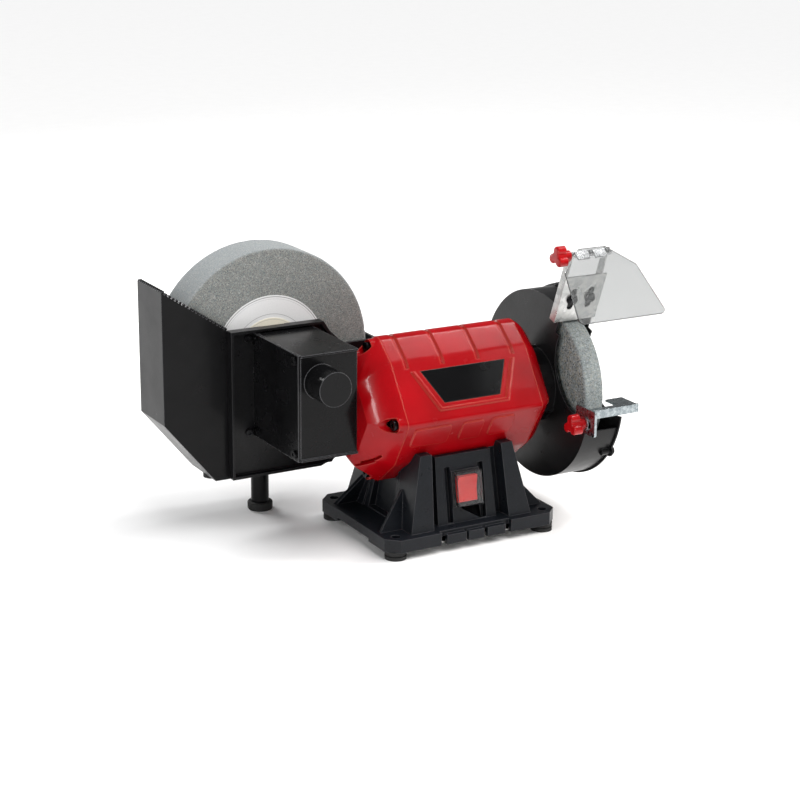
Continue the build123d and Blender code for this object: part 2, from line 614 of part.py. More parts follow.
def switch_plane():
    """Middle of the leaning front panel, facing outwards."""
    y = PANEL_LOW_Y - (SWITCH_Z - 18.0) * math.tan(PANEL_LEAN)
    normal = (0, -math.cos(PANEL_LEAN), math.sin(PANEL_LEAN))
    return Plane(origin=(0, -y, SWITCH_Z), x_dir=(1, 0, 0), z_dir=normal)


def gland_plane():
    """The cable entry, low on the leaning rear panel, facing outwards."""
    y = PANEL_LOW_Y - (GLAND_Z - 18.0) * math.tan(PANEL_LEAN)
    normal = (0, math.cos(PANEL_LEAN), math.sin(PANEL_LEAN))
    return Plane(origin=(0, y, GLAND_Z), x_dir=(1, 0, 0), z_dir=normal)


def pedestal_shell():
    core = frustum((-62, 62, -46, 46, 18), (-48, 48, -36, 36, PEDESTAL_TOP))
    pillar = frustum((-64, -40, -62.5, -30, 18), (-48.6, -36.7, -50.5, -20, PEDESTAL_TOP))
    panel = frustum((-31, 31, -PANEL_LOW_Y, -30, 18), (-29, 29, -PANEL_HIGH_Y, -20, PANEL_HIGH_Z))
    return core + four_corners(pillar) + mirrored(panel, Plane.XZ)


def make_base_casting():
    base = extrude(Plane.XY.offset(FLANGE_Z0) * flange_outline(), FLANGE_Z1 - FLANGE_Z0)
    base -= mirrored(block(-37, 37, -BASE_Y - 1, -BASE_Y + 5, 7, 21), Plane.XZ)
    for x0, x1 in ((-31.0, -11.0), (-8.0, 8.0), (12.0, 31.0)):
        base += mirrored(block(x0, x1, -BASE_Y, -BASE_Y + 6, FLANGE_Z0, FLANGE_Z1 - 3), Plane.XZ)
    base -= mirrored(block(-BASE_X - 1, -BASE_X + 4, -30, 30, 7, 11.5), Plane.YZ)
    base += pedestal_shell() + four_corners(corner_gusset())
    base -= mirrored(frustum((-70, -54, -22, 22, 21), (-60, -48, -18, 18, 66)), Plane.YZ)
    base -= motor_prism(BARREL_X0 - 10, BARREL_X1 + 10)
    base -= extrude(Plane.XY.offset(FLANGE_Z0 - 1) * flange_outline(5.0), 8.0)
    hollow = frustum((-50, 50, -42, 42, 10), (-42, 42, -32, 32, PEDESTAL_TOP))
    base -= hollow - motor_prism(-90, 90, -4.0)
    for x in (-17.5, 17.5):
        base -= switch_plane() * (Pos(x, -5.0, 0) * Box(6.0, 52.0, 12.0))
    base -= switch_plane() * Box(24.4, 29.4, 60.0)
    for x, y in FOOT_SPOTS:
        base += rod_z(FLANGE_Z0, FLANGE_Z1, 9.0, x, y)
        base -= rod_z(FLANGE_Z0 - 1, FLANGE_Z1 + 1, BENCH_HOLE_R, x, y)
    base -= gland_plane() * Cylinder(GLAND_R, 40.0)
    return base


def make_base_plate():
    plate = extrude(Plane.XY.offset(FLANGE_Z0 + 0.5) * flange_outline(5.6), 1.5)
    for x, y in FOOT_SPOTS:
        plate -= rod_z(0, 30, 9.4, x, y)
    return plate


def make_rubber_feet():
    feet = []
    for x, y in FOOT_SPOTS:
        foot = tube_z(0.0, FLANGE_Z0, FOOT_R, BENCH_HOLE_R, x, y)
        foot -= tube_z(3.2, 4.6, FOOT_R + 1, FOOT_R - 1.2, x, y)
        feet.append(foot)
    return feet


def make_cable_gland():
    """The gland in the rear panel; the cord itself is not part of the model."""
    gland = Pos(0, 0, -7.0) * Cylinder(GLAND_R, 14.0)
    gland += extrude(RegularPolygon(9.5, 6, False), 4.0)
    gland += Pos(0, 0, 7.0) * Cone(8.0, 6.0, 6.0)
    gland -= Cylinder(3.6, 60.0)
    return gland_plane() * gland


def make_capacitor():
    can = rod_x(-30.0, 34.0, 14.0, 22.0, 28.0)
    return can + rod_x(34.0, 38.0, 10.0, 22.0, 28.0)


# Switch ---------------------------------------------------------------------
def make_switch_housing():
    body = Pos(0, 0, -8.0) * Box(24.0, 29.0, 16.0) + Pos(0, 0, 1.0) * Box(29.0, 34.0, 2.0)
    body -= Pos(0, 0, -0.5) * Box(21.0, 26.6, 7.0)
    body -= Rot(0, 90, 0) * Cylinder(ROCKER_PIN_R + FIT, 23.0)
    return switch_plane() * body


def make_switch_rocker():
    """Two-way rocker, lying in its off position; it pivots about the panel's x axis."""
    side = [(-12.0, 0.8), (-12.0, 5.2), (0.0, 3.6), (12.0, 5.2), (12.0, 0.8), (3.0, -1.6), (-3.0, -1.6)]
    plane = Plane(origin=(-10.0, 0, 0), x_dir=(0, 1, 0), z_dir=(1, 0, 0))
    rocker = extrude(plane * outline(side), 20.0) + Rot(0, 90, 0) * Cylinder(ROCKER_PIN_R, 22.4)
    return switch_plane() * (Rot(ROCKER_TILT, 0, 0) * rocker)


def make_switch_cover():
    cover = Pos(0, 0, 6.0) * Box(27.0, 32.0, 8.0)
    cover = fillet(cover.edges().filter_by(Axis.Z) + cover.faces().sort_by(Axis.Z)[-1].edges(), 1.2)
    cover -= Pos(0, 0, 5.4) * Box(25.0, 30.0, 7.2)
    return switch_plane() * cover


# Dry wheel and its guard ----------------------------------------------------
def make_dry_wheel():
    stone = tube_x(DRY_X0, DRY_X1, DRY_R, DRY_BORE + 0.05)
    return chamfer(stone.edges().filter_by(GeomType.CIRCLE).sort_by(Edge.length)[-2:], 0.6)


def make_dry_wheel_labels():
    left = tube_x(DRY_X0 - LABEL_T, DRY_X0, 33.0, DRY_BORE + 0.05)
    return [left, tube_x(DRY_X1, DRY_X1 + LABEL_T, 33.0, DRY_BORE + 0.05)]


def make_dry_flanges():
    x0, x1 = DRY_X0 - LABEL_T, DRY_X1 + LABEL_T
    return [tube_x(x0 - 3.0, x0, 25.0, DRY_BORE), tube_x(x1, x1 + 3.0, 25.0, DRY_BORE)]


def make_dry_nut():
    x0 = DRY_X1 + LABEL_T + 3.0
    return hex_nut_x(x0, x0 + 7.0, 19.0, DRY_BORE)


def bracket_room():
    """Outline of the space that the shield bracket slides in, across the shaft."""
    corners = []
    for up, out in ((-12.0, -BRACKET_T - GAP), (70.0, -BRACKET_T - GAP), (70.0, 60.0), (-12.0, 60.0)):
        y = BRACKET_Y + up * BRACKET_UP[0] + out * BRACKET_OUT[0]
        z = BRACKET_Z - MOTOR_Z + up * BRACKET_UP[1] + out * BRACKET_OUT[1]
        corners.append((y, z))
    return outline(corners)


def guard_disc(x0, x1, r):
    disc = Circle(r) - Pos(CUT_Y, CUT_Z) * Circle(CUT_R) - bracket_room()
    return extrude(across(x0) * disc, x1 - x0)


def opening_wedge():
    """The part of the guard's rim that is left open in front of the wheel."""
    far = 200.0
    points = [(0.0, 0.0)]
    for degrees in (GUARD_TOP_DEG, 150.0, GUARD_LOW_DEG):
        angle = math.radians(degrees)
        points.append((far * math.cos(angle), far * math.sin(angle)))
    return extrude(across(60.0) * outline(points), 120.0)


def make_guard_housing():
    inner_r = GUARD_R - GUARD_SHEET
    guard = guard_disc(GUARD_X0, GUARD_X0 + 2.0, GUARD_R)
    guard += tube_x(GUARD_X0, GUARD_X1, GUARD_R, inner_r) - opening_wedge()
    guard += rod_x(GUARD_X0, GUARD_X0 + 2.0, 8.0, REST_Y + 2, REST_Z)
    guard += tube_x(90.0, GUARD_X0, 36.0, 30.0)
    guard -= rod_x(GUARD_X0 - 2, GUARD_X0 + 3, 14.0)
    guard += guard_nose()
    for y, z in COLLAR_SCREWS:
        guard += rod_x(90.0, GUARD_X0, 4.5, y, z)
        guard -= rod_x(89.0, GUARD_X0 + 3, 2.1, y, z)
    for degrees in COVER_SCREW_DEG:
        y, z = rim_spot(degrees)
        guard += rod_x(GUARD_X1 - 9, GUARD_X1, 3.2, y, z)
        guard -= rod_x(GUARD_X1 - 10, GUARD_X1 + 1, 1.8, y, z)
    return guard - rod_x(GUARD_X0 - 2, GUARD_X0 + 3, 3.1, REST_Y, REST_Z)


def rim_spot(degrees):
    angle = math.radians(degrees)
    r = GUARD_R + 0.8
    return r * math.cos(angle), MOTOR_Z + r * math.sin(angle)


def bracket_plane():
    """Front face of the shield bracket; its y runs up the plate."""
    return Plane(origin=(BRACKET_MID, BRACKET_Y, BRACKET_Z), x_dir=(1, 0, 0), z_dir=(0, *BRACKET_OUT))


def guard_nose():
    """Folded edge at the top of the guard, behind the shield bracket."""
    behind = BRACKET_T + GAP
    nose = Pos(0, 22.5, -behind - 1.0) * Box(32.0, 27.0, 2.0)
    for x in (-SLOT_X, SLOT_X):
        nose -= Pos(x, SLOT_U, -behind - 1.0) * Cylinder(2.1, 4.0)
    return bracket_plane() * nose


def make_guard_cover():
    cover = guard_disc(GUARD_X1, GUARD_X1 + 1.5, GUARD_R + 2.0)
    dome = rod_x(GUARD_X1, GUARD_X1 + 11.0, 32.0)
    dome = fillet(dome.edges().group_by(Axis.X)[-1], 4.0)
    cover += dome
    for degrees in COVER_SCREW_DEG:
        y, z = rim_spot(degrees)
        cover += rod_x(GUARD_X1, GUARD_X1 + 1.5, 5.5, y, z)
        cover -= rod_x(GUARD_X1 - 1, GUARD_X1 + 3, 2.1, y, z)
    return cover - rod_x(GUARD_X1 - 1, GUARD_X1 + 9.5, 30.5)


def make_guard_screws():
    screws = []
    for degrees in COVER_SCREW_DEG:
        y, z = rim_spot(degrees)
        plane = Plane(origin=(GUARD_X1 + 1.5, y, z), x_dir=(0, 1, 0), z_dir=(1, 0, 0))
        screws.append(cap_screw(3.8, 2.6, 1.8, 11.0, plane, 1.7))
    for y, z in COLLAR_SCREWS:
        plane = Plane(origin=(GUARD_X0 + 2.0, y, z), x_dir=(0, 1, 0), z_dir=(1, 0, 0))
        screws.append(cap_screw(3.6, 1.1, 2.0, 17.0, plane))
    return screws


# Shield ---------------------------------------------------------------------


def hinge_centre():
    point = bracket_plane().from_local_coords((0, HINGE_U, HINGE_BACK))
    return point.Y, point.Z


def make_shield_bracket():
    plate = Pos(0, 24.0, -BRACKET_T / 2) * Box(2 * BRACKET_HALF, 48.0, BRACKET_T)
    for x in (-SLOT_X, SLOT_X):
        plate -= Pos(x, SLOT_U, -1.0) * extrude(SlotOverall(SLOT_L, SLOT_W, 90.0), 4.0, both=True)
    left = ear(-BRACKET_HALF, 0.0)
    right = ear(BRACKET_HALF - 6.5, 40.0)
    return bracket_plane() * (plate + left + right)


def ear(x0, low):
    """A side tab that carries the hinge bolt."""
    side = Plane(origin=(x0, 0, 0), x_dir=(0, 1, 0), z_dir=(1, 0, 0))
    shape = outline([(low, 0.0), (low, -8.2), (HINGE_U, -8.2), (HINGE_U, HINGE_BACK + 3.7), (48.0, 0.0)])
    shape += Pos(HINGE_U, HINGE_BACK) * Circle(3.7)
    shape -= Pos(HINGE_U, HINGE_BACK) * Circle(2.1)
    return extrude(side * shape, BRACKET_T)


def make_bracket_screws():
    screws = []
    for x in (-SLOT_X, SLOT_X):
        seat = bracket_plane() * Plane(origin=(x, SLOT_U, GAP), x_dir=(1, 0, 0), z_dir=(0, 0, 1))
        washer = Pos(0, 0, 0.5) * Cylinder(5.2, 1.0)
        screws.append(cap_screw(3.8, 3.6, 2.0, 9.0, seat, 1.8) + seat * washer)
    return screws


def make_hinge_bolt():
    y, z = hinge_centre()
    right = BRACKET_MID + BRACKET_HALF - 6.5 + BRACKET_T
    left = BRACKET_MID - BRACKET_HALF - GAP - KNOB_BORE + 0.3
    return rod_x(left, right, 2.0, y, z) + rod_x(right, right + 4.0, 3.9, y, z)


def make_hinge_sleeves():
    """Two steel barrels with tabs that carry the pane."""
    y, z = hinge_centre()
    sleeves = []
    for x0, x1 in ((101.4, 118.6), (120.4, 137.3)):
        sleeve = rod_x(x0, x1, 3.0, y, z) + pane_block(x0 + 2, x1 - 2, -0.8, 8.0, -PANE_LIFT, 0.0, thin=1.3)
        sleeves.append(sleeve - rod_x(x0 - 1, x1 + 1, 2.0 + FIT, y, z))
    return sleeves


def pane_plane():
    """Lower face of the pane, its y running down the pane from the hinge."""
    y, z = hinge_centre()
    lean = math.radians(PANE_DEG)
    normal = (0, -math.sin(lean), math.cos(lean))
    origin = (BRACKET_MID, y - PANE_LIFT * math.sin(lean), z + PANE_LIFT * math.cos(lean))
    return Plane(origin=origin, x_dir=(-1, 0, 0), z_dir=normal)


def pane_block(x0, x1, s0, s1, low, high, thin):
    """A small tab between a hinge barrel and the pane."""
    mid = (x0 + x1) / 2 - BRACKET_MID
    web = Pos(-mid, (s0 + s1) / 2, -thin / 2) * Box(x1 - x0, s1 - s0, thin)
    post = Pos(-mid, 0.4, low / 2) * Box(x1 - x0, 2.4, -low)
    return pane_plane() * (web + post)


def make_eye_shield():
    half = [(14.5, -2.5), (39.0, 20.0), (47.5, 74.0)]
    points = half + [(-x, s) for x, s in reversed(half)]
    face = outline(points)
    face = fillet([v for v in face.vertices() if v.Y > 70], 5.0)
    face = fillet([v for v in face.vertices() if v.Y < 30 and abs(v.X) > 30], 3.0)
    return extrude(pane_plane() * face, PANE_T)


def make_shield_knob():
    y, z = hinge_centre()
    x = BRACKET_MID - BRACKET_HALF - GAP
    return wing_knob(Plane(origin=(x, y, z), x_dir=(0, 0.35, 0.94), z_dir=(-1, 0, 0)), 2.0 + FIT)


# Tool rest ------------------------------------------------------------------


def make_tool_rest():
    leg_x0 = LEG_X1 - LEG_T
    leg = block(leg_x0, LEG_X1, -104, -74, 98, REST_TOP)
    leg = fillet(leg.edges().filter_by(Axis.X), 2.0)
    slot = Plane(origin=(leg_x0 - 1, REST_Y, REST_Z), x_dir=(0, 1, 0), z_dir=(1, 0, 0))
    leg -= extrude(slot * SlotOverall(20.0, 6.8), LEG_T + 2)
    plate = block(leg_x0 + 1, 153, -99, -92, REST_TOP - REST_SHEET, REST_TOP)
    plate += block(134.5, 153, -99, -74, REST_TOP - REST_SHEET, REST_TOP)
    lip = block(leg_x0 + 1, 154.5, -99, -97, REST_TOP - 8, REST_TOP)
    return leg + plate + lip


def make_rest_bolt():
    left = LEG_X1 - LEG_T - 2 * GAP - WASHER_T - KNOB_BORE + 0.3
    bolt = rod_x(left, GUARD_X0 + 2.0, 3.0, REST_Y, REST_Z)
    return bolt + rod_x(GUARD_X0 + 2.0, GUARD_X0 + 4.5, 5.5, REST_Y, REST_Z)


def make_rest_washer():
    x1 = LEG_X1 - LEG_T - GAP
    return tube_x(x1 - WASHER_T, x1, 7.0, 3.0 + FIT, REST_Y, REST_Z)


def make_rest_knob():
    x = LEG_X1 - LEG_T - 2 * GAP - WASHER_T
    return wing_knob(Plane(origin=(x, REST_Y, REST_Z), x_dir=(0, 0.5, 0.87), z_dir=(-1, 0, 0)), 3.0 + FIT)


NODES = {
    "base_casting": make_base_casting,
    "base_plate": make_base_plate,
    "rubber_feet": make_rubber_feet,
    "cable_gland": make_cable_gland,
    "capacitor": make_capacitor,
    "switch_housing": make_switch_housing,
    "switch_rocker": make_switch_rocker,
    "switch_cover": make_switch_cover,
    "motor_housing": make_motor_housing,
    "name_plate": make_name_plate,
    "left_end_cap": make_left_end_cap,
    "right_end_cap": make_right_end_cap,
    "tie_screws": make_tie_screws,
    "stator_core": make_stator_core,
    "stator_windings": make_stator_windings,
    "rotor_core": make_rotor_core,
    "rotor_cage": make_rotor_cage,
    "motor_shaft": make_motor_shaft,
    "left_bearing": make_left_bearing,
    "right_bearing": make_right_bearing,
    "worm": make_worm,
    "worm_wheel": make_worm_wheel,
    "idler_shaft": make_idler_shaft,
    "idler_pinion": make_pinion,
    "output_gear": make_output_gear,
    "output_shaft": make_output_shaft,
    "output_bushes": make_output_bushes,
    "shaft_seal": make_shaft_seal,
    "gearbox_housing": make_gearbox_housing,
    "gearbox_cover": make_gearbox_cover,
    "gearbox_screws": make_gearbox_screws,
    "tank_bracket": make_tank_bracket,
    "tank_screws": make_tank_screws,
    "water_tank": make_water_tank,
    "drain_plug": make_drain_plug,
    "support_post": make_support_post,
    "support_foot": make_support_foot,
    "wet_wheel": make_wet_wheel,
    "wet_wheel_labels": make_wet_wheel_labels,
    "wet_wheel_blotters": make_wet_blotters,
    "wet_wheel_flanges": make_wet_flanges,
    "wet_wheel_nut": make_wet_nut,
    "dry_wheel": make_dry_wheel,
    "dry_wheel_labels": make_dry_wheel_labels,
    "dry_wheel_flanges": make_dry_flanges,
    "dry_wheel_nut": make_dry_nut,
    "guard_housing": make_guard_housing,
    "guard_cover": make_guard_cover,
    "guard_screws": make_guard_screws,
    "shield_bracket": make_shield_bracket,
    "bracket_screws": make_bracket_screws,
    "hinge_bolt": make_hinge_bolt,
    "hinge_sleeves": make_hinge_sleeves,
    "eye_shield": make_eye_shield,
    "shield_knob": make_shield_knob,
    "tool_rest": make_tool_rest,
    "rest_bolt": make_rest_bolt,
    "rest_washer": make_rest_washer,
    "rest_knob": make_rest_knob,
}

os.makedirs("parts", exist_ok=True)
for name, make in NODES.items():
    shape = make()
    if isinstance(shape, list):
        shape = Compound(children=shape)
    export_step(shape, f"parts/{name}.step")
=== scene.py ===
import json
import math

import bmesh
import bpy
from mathutils import Euler, Matrix, Vector, noise


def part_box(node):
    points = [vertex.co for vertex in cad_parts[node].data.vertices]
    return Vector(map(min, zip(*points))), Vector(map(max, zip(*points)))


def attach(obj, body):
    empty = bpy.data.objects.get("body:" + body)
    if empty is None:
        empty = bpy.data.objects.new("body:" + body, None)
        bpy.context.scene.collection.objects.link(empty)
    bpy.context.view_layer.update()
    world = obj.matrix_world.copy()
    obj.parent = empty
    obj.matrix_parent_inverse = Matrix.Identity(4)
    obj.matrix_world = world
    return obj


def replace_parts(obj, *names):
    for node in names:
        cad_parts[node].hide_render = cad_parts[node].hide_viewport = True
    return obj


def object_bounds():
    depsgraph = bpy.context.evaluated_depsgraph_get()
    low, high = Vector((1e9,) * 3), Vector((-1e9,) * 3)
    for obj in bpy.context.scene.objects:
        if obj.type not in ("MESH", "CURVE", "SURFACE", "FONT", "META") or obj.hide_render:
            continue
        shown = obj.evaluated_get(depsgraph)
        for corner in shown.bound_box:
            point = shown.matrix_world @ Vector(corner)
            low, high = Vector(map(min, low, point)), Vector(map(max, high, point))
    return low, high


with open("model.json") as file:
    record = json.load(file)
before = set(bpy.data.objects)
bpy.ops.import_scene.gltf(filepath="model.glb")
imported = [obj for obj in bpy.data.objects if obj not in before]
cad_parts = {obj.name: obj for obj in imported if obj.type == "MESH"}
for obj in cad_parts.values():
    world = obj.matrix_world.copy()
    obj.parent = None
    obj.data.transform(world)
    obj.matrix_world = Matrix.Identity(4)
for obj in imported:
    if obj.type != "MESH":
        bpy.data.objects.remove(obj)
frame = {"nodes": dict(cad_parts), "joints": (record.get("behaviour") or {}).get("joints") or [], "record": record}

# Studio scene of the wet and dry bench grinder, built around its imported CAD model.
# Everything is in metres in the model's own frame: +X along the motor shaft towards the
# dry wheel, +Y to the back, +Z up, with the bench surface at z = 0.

MM = 0.001
X, Y, Z = 0, 1, 2
NODES = frame["nodes"]
CAD_LOW, CAD_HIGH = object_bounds()


# Places worked out from the frame -------------------------------------------
def middle(node):
    """The middle of a CAD node's box."""
    low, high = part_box(node)
    return (low + high) / 2


def radius_of(node):
    """The outer radius of a CAD node that is round about a level axis."""
    low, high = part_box(node)
    return (high[Z] - low[Z]) / 2


def joint_place(name):
    """A point on the line that a joint turns about."""
    for joint in frame["joints"]:
        if joint["name"] == name:
            return Vector(joint["pos_m"])
    raise ValueError(f"no joint named {name}")


WET_CENTRE, WET_RADIUS = middle("wet_wheel"), radius_of("wet_wheel")
DRY_CENTRE, DRY_RADIUS = middle("dry_wheel"), radius_of("dry_wheel")


# Node helpers ---------------------------------------------------------------
# The cosine between a rounded normal and the face's own where the painted edge highlight
# is full, and where it has faded out to none.
FULL_EDGE_HIGHLIGHT, NO_EDGE_HIGHLIGHT = 0.80, 0.985


class Shader:
    """A material's node tree with short calls for the nodes used here."""

    def __init__(self, name):
        self.material = bpy.data.materials.new(name)
        self.material.use_nodes = True
        self.tree = self.material.node_tree
        self.tree.nodes.clear()
        output = self.add("ShaderNodeOutputMaterial")
        self.surface = self.add("ShaderNodeBsdfPrincipled")
        self.join(self.surface.outputs[0], output.inputs["Surface"])
        self.place = self.add("ShaderNodeTexCoord").outputs["Object"]

    def add(self, kind, **settings):
        """A new node of a kind, with its properties set."""
        node = self.tree.nodes.new(kind)
        for key, value in settings.items():
            setattr(node, key, value)
        return node

    def join(self, source, target):
        """Links an output to an input."""
        self.tree.links.new(source, target)

    def put(self, socket, value):
        """Links a socket's value, or sets it when it is a plain number or colour."""
        if isinstance(value, bpy.types.NodeSocket):
            self.join(value, socket)
        else:
            socket.default_value = value

    def set(self, **values):
        """Sets inputs of the Principled shader, with _ for each space in a name."""
        for key, value in values.items():
            self.put(self.surface.inputs[key.replace("_", " ")], value)

    def noise(self, scale, detail=4.0, roughness=0.5, place=None, distortion=0.0):
        """Cloudy noise from 0 to 1, with scale as its features per metre."""
        node = self.add("ShaderNodeTexNoise")
        self.put(node.inputs["Vector"], place or self.place)
        node.inputs["Scale"].default_value = scale
        node.inputs["Detail"].default_value = detail
        node.inputs["Roughness"].default_value = roughness
        node.inputs["Distortion"].default_value = distortion
        return node.outputs["Fac"]

    def cells(self, scale, output="Distance", place=None):
        """Packed cells, scale of them per metre: distance from a centre, or a random colour."""
        node = self.add("ShaderNodeTexVoronoi")
        self.put(node.inputs["Vector"], place or self.place)
        node.inputs["Scale"].default_value = scale
        return node.outputs[output]

    def cell_numbers(self, scale):
        """Three random numbers from 0 to 1 for each packed cell."""
        split = self.add("ShaderNodeSeparateColor")
        self.join(self.cells(scale, output="Color"), split.inputs[0])
        return split.outputs

    def ramp(self, value, stops):
        """stops are (position, colour) pairs; a colour may be one grey number."""
        node = self.add("ShaderNodeValToRGB")
        self.join(value, node.inputs["Fac"])
        elements = node.color_ramp.elements
        while len(elements) < len(stops):
            elements.new(0.5)
        for element, (position, colour) in zip(elements, stops):
            element.position = position
            element.color = rgba(colour)
        return node.outputs["Color"]

    def span(self, value, low, high, to_low, to_high):
        """A value carried from the range low to high over to another range, and held at its ends."""
        node = self.add("ShaderNodeMapRange")
        self.join(value, node.inputs["Value"])
        ends = {"From Min": low, "From Max": high, "To Min": to_low, "To Max": to_high}
        for key, number in ends.items():
            node.inputs[key].default_value = number
        return node.outputs["Result"]

    def maths(self, operation, first, second=0.0):
        """One sum; operations on a single value leave the second out."""
        node = self.add("ShaderNodeMath", operation=operation)
        self.put(node.inputs[0], first)
        self.put(node.inputs[1], second)
        return node.outputs[0]

    def mix(self, factor, first, second, blend="MIX"):
        """The first colour with the second laid over it by factor."""
        node = self.add("ShaderNodeMix", data_type="RGBA", blend_type=blend)
        self.put(node.inputs["Factor"], factor)
        self.put(node.inputs[6], rgba(first))
        self.put(node.inputs[7], rgba(second))
        return node.outputs[2]

    def moved(self, origin=(0.0, 0.0, 0.0), scale=(1.0, 1.0, 1.0)):
        """Object coordinates measured from another origin, then scaled."""
        shift = self.add("ShaderNodeVectorMath", operation="SUBTRACT")
        self.join(self.place, shift.inputs[0])
        shift.inputs[1].default_value = origin
        grow = self.add("ShaderNodeVectorMath", operation="MULTIPLY")
        self.join(shift.outputs[0], grow.inputs[0])
        grow.inputs[1].default_value = scale
        return grow.outputs[0]

    def radius(self, centre, axis):
        """Distance from a line through centre along X, Y or Z."""
        flat = [1.0, 1.0, 1.0]
        flat[axis] = 0.0
        length = self.add("ShaderNodeVectorMath", operation="LENGTH")
        self.join(self.moved(centre, flat), length.inputs[0])
        return length.outputs["Value"]

    def bump(self, height, strength, depth, normal=None):
        """A normal with relief of a depth in metres, laid over another normal if there is one."""
        node = self.add("ShaderNodeBump")
        self.join(height, node.inputs["Height"])
        node.inputs["Strength"].default_value = strength
        node.inputs["Distance"].default_value = depth
        if normal is not None:
            self.join(normal, node.inputs["Normal"])
        return node.outputs["Normal"]

    def rounded(self, radius):
        """A normal that rounds the mesh's edges, so that they catch the light."""
        node = self.add("ShaderNodeBevel", samples=8)
        node.inputs["Radius"].default_value = radius
        return node.outputs["Normal"]

    def edge_highlight(self, normal, amount):
        """How far a rounded normal leaves the face's own: a painted highlight on edges, from 0 to amount."""
        dot = self.add("ShaderNodeVectorMath", operation="DOT_PRODUCT")
        self.join(normal, dot.inputs[0])
        self.join(self.add("ShaderNodeNewGeometry").outputs["Normal"], dot.inputs[1])
        return self.span(dot.outputs["Value"], FULL_EDGE_HIGHLIGHT, NO_EDGE_HIGHLIGHT, amount, 0.0)


def rgba(colour):
    """A grey number or an (r, g, b) colour as four numbers; sockets pass through."""
    if isinstance(colour, bpy.types.NodeSocket):
        return colour
    if isinstance(colour, (int, float)):
        return (colour, colour, colour, 1.0)
    return (*colour, 1.0)


def scaled(colour, factor):
    """A colour made lighter or darker."""
    return [channel * factor for channel in colour]


# Materials ------------------------------------------------------------------
EDGE_HIGHLIGHT_TONE = (0.17, 0.17, 0.18)         # painted highlight on the black parts' edges
RED_EDGE_HIGHLIGHT = (0.85, 0.16, 0.10)     # painted highlight on the red enamel's thin edges
RING_INK = (0.06, 0.06, 0.07)
DARK_PLASTIC = (0.003, 0.003, 0.0034)


def enamel():
    """Deep red gloss enamel over a casting: a faint orange peel, soft waviness, and a painted highlight on its
    edges.
    """
    s = Shader("red_enamel")
    tint = s.noise(26.0, 3.0)
    edge = s.rounded(1.6 * MM)
    coat = s.ramp(tint, [(0.3, (0.27, 0.0007, 0.0028)), (0.7, (0.36, 0.0010, 0.0044))])
    # Painted highlight: the base colour turns pale orange-red on the rounded edges.
    s.set(Base_Color=s.mix(s.edge_highlight(edge, 0.32), coat, RED_EDGE_HIGHLIGHT))
    s.set(Roughness=s.span(s.noise(60.0, 4.0), 0.3, 0.7, 0.20, 0.28))
    s.set(Coat_Weight=0.22, Coat_Roughness=0.06, Coat_IOR=1.5, Specular_IOR_Level=0.15)
    peel = s.bump(s.noise(520.0, 2.0), 0.10, 0.3 * MM, edge)
    wave = s.bump(s.noise(38.0, 2.0), 0.10, 1.2 * MM, peel)
    s.set(Normal=wave, Coat_Normal=wave)
    return s.material


def powder_coat(name, low, high, rough, grain, relief, edge=1.0 * MM):
    """Matt black powder paint with a fine pebbled grain, and a painted highlight a little paler on its edges."""
    s = Shader(name)
    blotch = s.noise(45.0, 5.0, 0.6)
    speck = s.noise(grain, 2.0)
    colour = s.ramp(blotch, [(0.3, low), (0.72, high)])
    corner = s.rounded(edge)
    body = s.mix(s.span(speck, 0.35, 0.75, 0.0, 0.45), colour, scaled(high, 2.3))
    # Painted highlight: the base colour turns pale grey on the rounded edges.
    s.set(Base_Color=s.mix(s.edge_highlight(corner, 0.5), body, EDGE_HIGHLIGHT_TONE))
    s.set(Roughness=s.span(s.noise(90.0, 4.0), 0.3, 0.7, rough - 0.05, rough + 0.06))
    s.set(Specular_IOR_Level=0.20, Coat_Weight=0.06, Coat_Roughness=0.18)
    pebble = s.bump(speck, relief, 0.22 * MM, corner)
    s.set(Normal=s.bump(s.noise(160.0, 3.0), 0.12, 0.4 * MM, pebble))
    return s.material


def moulded(name, low, high, rough, grain=900.0, relief=0.12, specular=0.13, edge=1.1 * MM):
    """Moulded plastic with a faint spark-eroded grain, a trace of handling dust, and a painted highlight on its
    edges.
    """
    s = Shader(name)
    haze = s.noise(16.0, 5.0, 0.62, distortion=0.4)
    corner = s.rounded(edge)
    body = s.ramp(haze, [(0.3, low), (0.75, high)])
    # Painted highlight: the base colour turns pale grey on the rounded edges.
    s.set(Base_Color=s.mix(s.edge_highlight(corner, 0.7), body, EDGE_HIGHLIGHT_TONE))
    s.set(Roughness=s.span(s.noise(34.0, 6.0, 0.6), 0.3, 0.72, rough - 0.06, rough + 0.08))
    s.set(Specular_IOR_Level=specular, Coat_Weight=0.06, Coat_Roughness=0.10)
    grainy = s.bump(s.noise(grain, 3.0), relief, 0.1 * MM, corner)
    s.set(Normal=s.bump(s.noise(22.0, 2.0), 0.03, 1.5 * MM, grainy))
    return s.material


